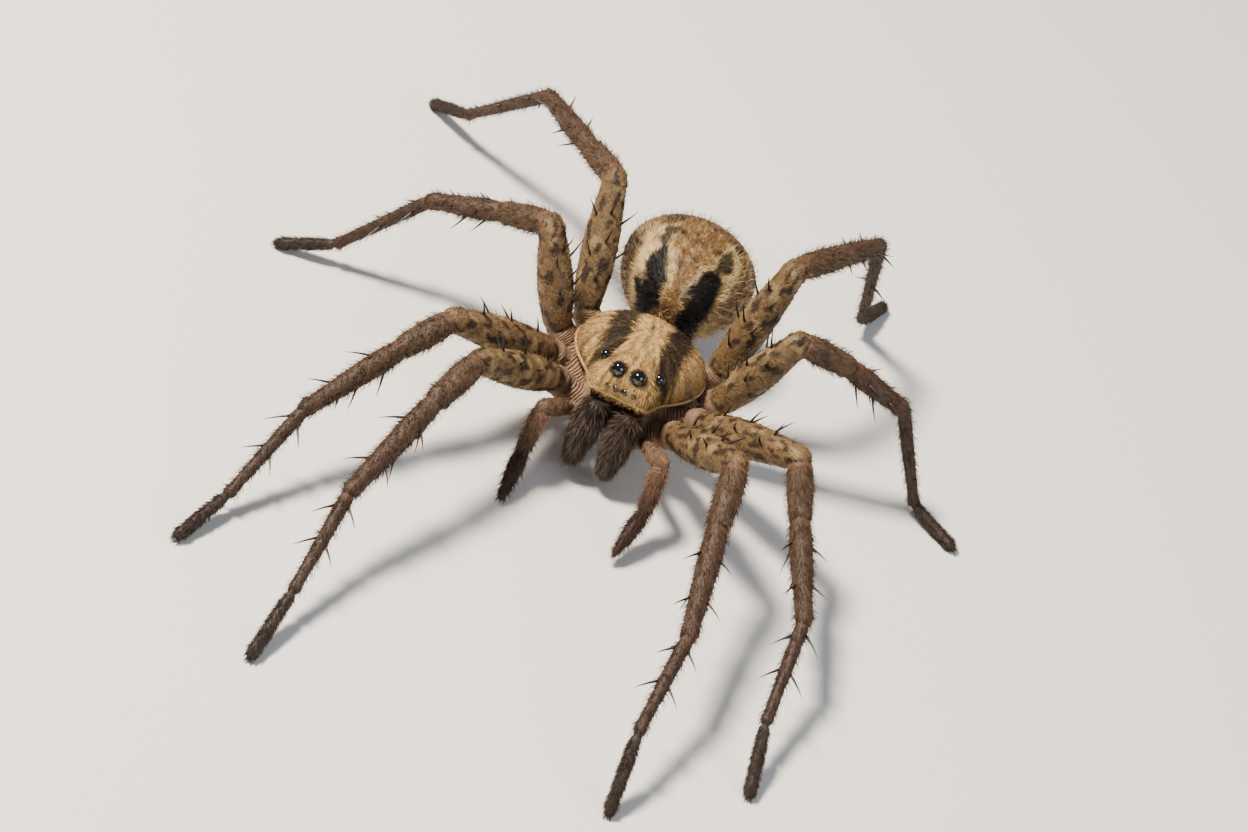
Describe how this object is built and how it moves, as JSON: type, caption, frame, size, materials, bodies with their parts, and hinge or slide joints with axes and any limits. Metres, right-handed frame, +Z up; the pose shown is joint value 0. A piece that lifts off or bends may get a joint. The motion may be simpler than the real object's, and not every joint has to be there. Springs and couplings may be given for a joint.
{
  "type": "wolf spider",
  "caption": "Life-size still model of a large wolf spider standing on bent legs, body low, palps and jaws down, abdomen behind; for display, scenes and study of form",
  "frame": {"origin": "on the floor, below the middle of the whole footprint", "axes": "+Z up; the spider faces -Y and its left side is +X"},
  "size_m": [0.0446, 0.0544, 0.0128],
  "materials": {
    "carapace": "pale tan and dark brown bands of short flat hair",
    "abdomen": "mottled brown and cream hair with dark patches",
    "legs": "brown, hairy, blotched on the thighs",
    "feet": "dark brown dense brush of hair",
    "underside": "red-brown skin with sparse hair",
    "jaws": "dark grey-brown with bristles",
    "eyes": "glossy black",
    "fangs": "polished dark horn"
  },
  "bodies": {
    "root": {"carapace": "carapace", "sternum": "underside", "abdomen": "abdomen", "pedicel": "underside", "spinnerets": "underside", "eye_middle_right": "eyes", "eye_rear_right": "eyes", "eye_front_inner_right": "eyes", "eye_front_outer_right": "eyes", "chelicera_right": "jaws", "fang_right": "fangs", "palp_right_femur": "legs", "palp_right_tibia": "legs", "palp_right_tarsus": "feet", "leg_right_1_coxa": "legs", "leg_right_1_femur": "legs", "leg_right_1_tibia": "legs", "leg_right_1_tarsus": "feet", "leg_right_2_coxa": "legs", "leg_right_2_femur": "legs", "leg_right_2_tibia": "legs", "leg_right_2_tarsus": "feet", "leg_right_3_coxa": "legs", "leg_right_3_femur": "legs", "leg_right_3_tibia": "legs", "leg_right_3_tarsus": "feet", "leg_right_4_coxa": "legs", "leg_right_4_femur": "legs", "leg_right_4_tibia": "legs", "leg_right_4_tarsus": "feet", "eye_middle_left": "eyes", "eye_rear_left": "eyes", "eye_front_inner_left": "eyes", "eye_front_outer_left": "eyes", "chelicera_left": "jaws", "fang_left": "fangs", "palp_left_femur": "legs", "palp_left_tibia": "legs", "palp_left_tarsus": "feet", "leg_left_1_coxa": "legs", "leg_left_1_femur": "legs", "leg_left_1_tibia": "legs", "leg_left_1_tarsus": "feet", "leg_left_2_coxa": "legs", "leg_left_2_femur": "legs", "leg_left_2_tibia": "legs", "leg_left_2_tarsus": "feet", "leg_left_3_coxa": "legs", "leg_left_3_femur": "legs", "leg_left_3_tibia": "legs", "leg_left_3_tarsus": "feet", "leg_left_4_coxa": "legs", "leg_left_4_femur": "legs", "leg_left_4_tibia": "legs", "leg_left_4_tarsus": "feet"}
  },
  "joints": []
}
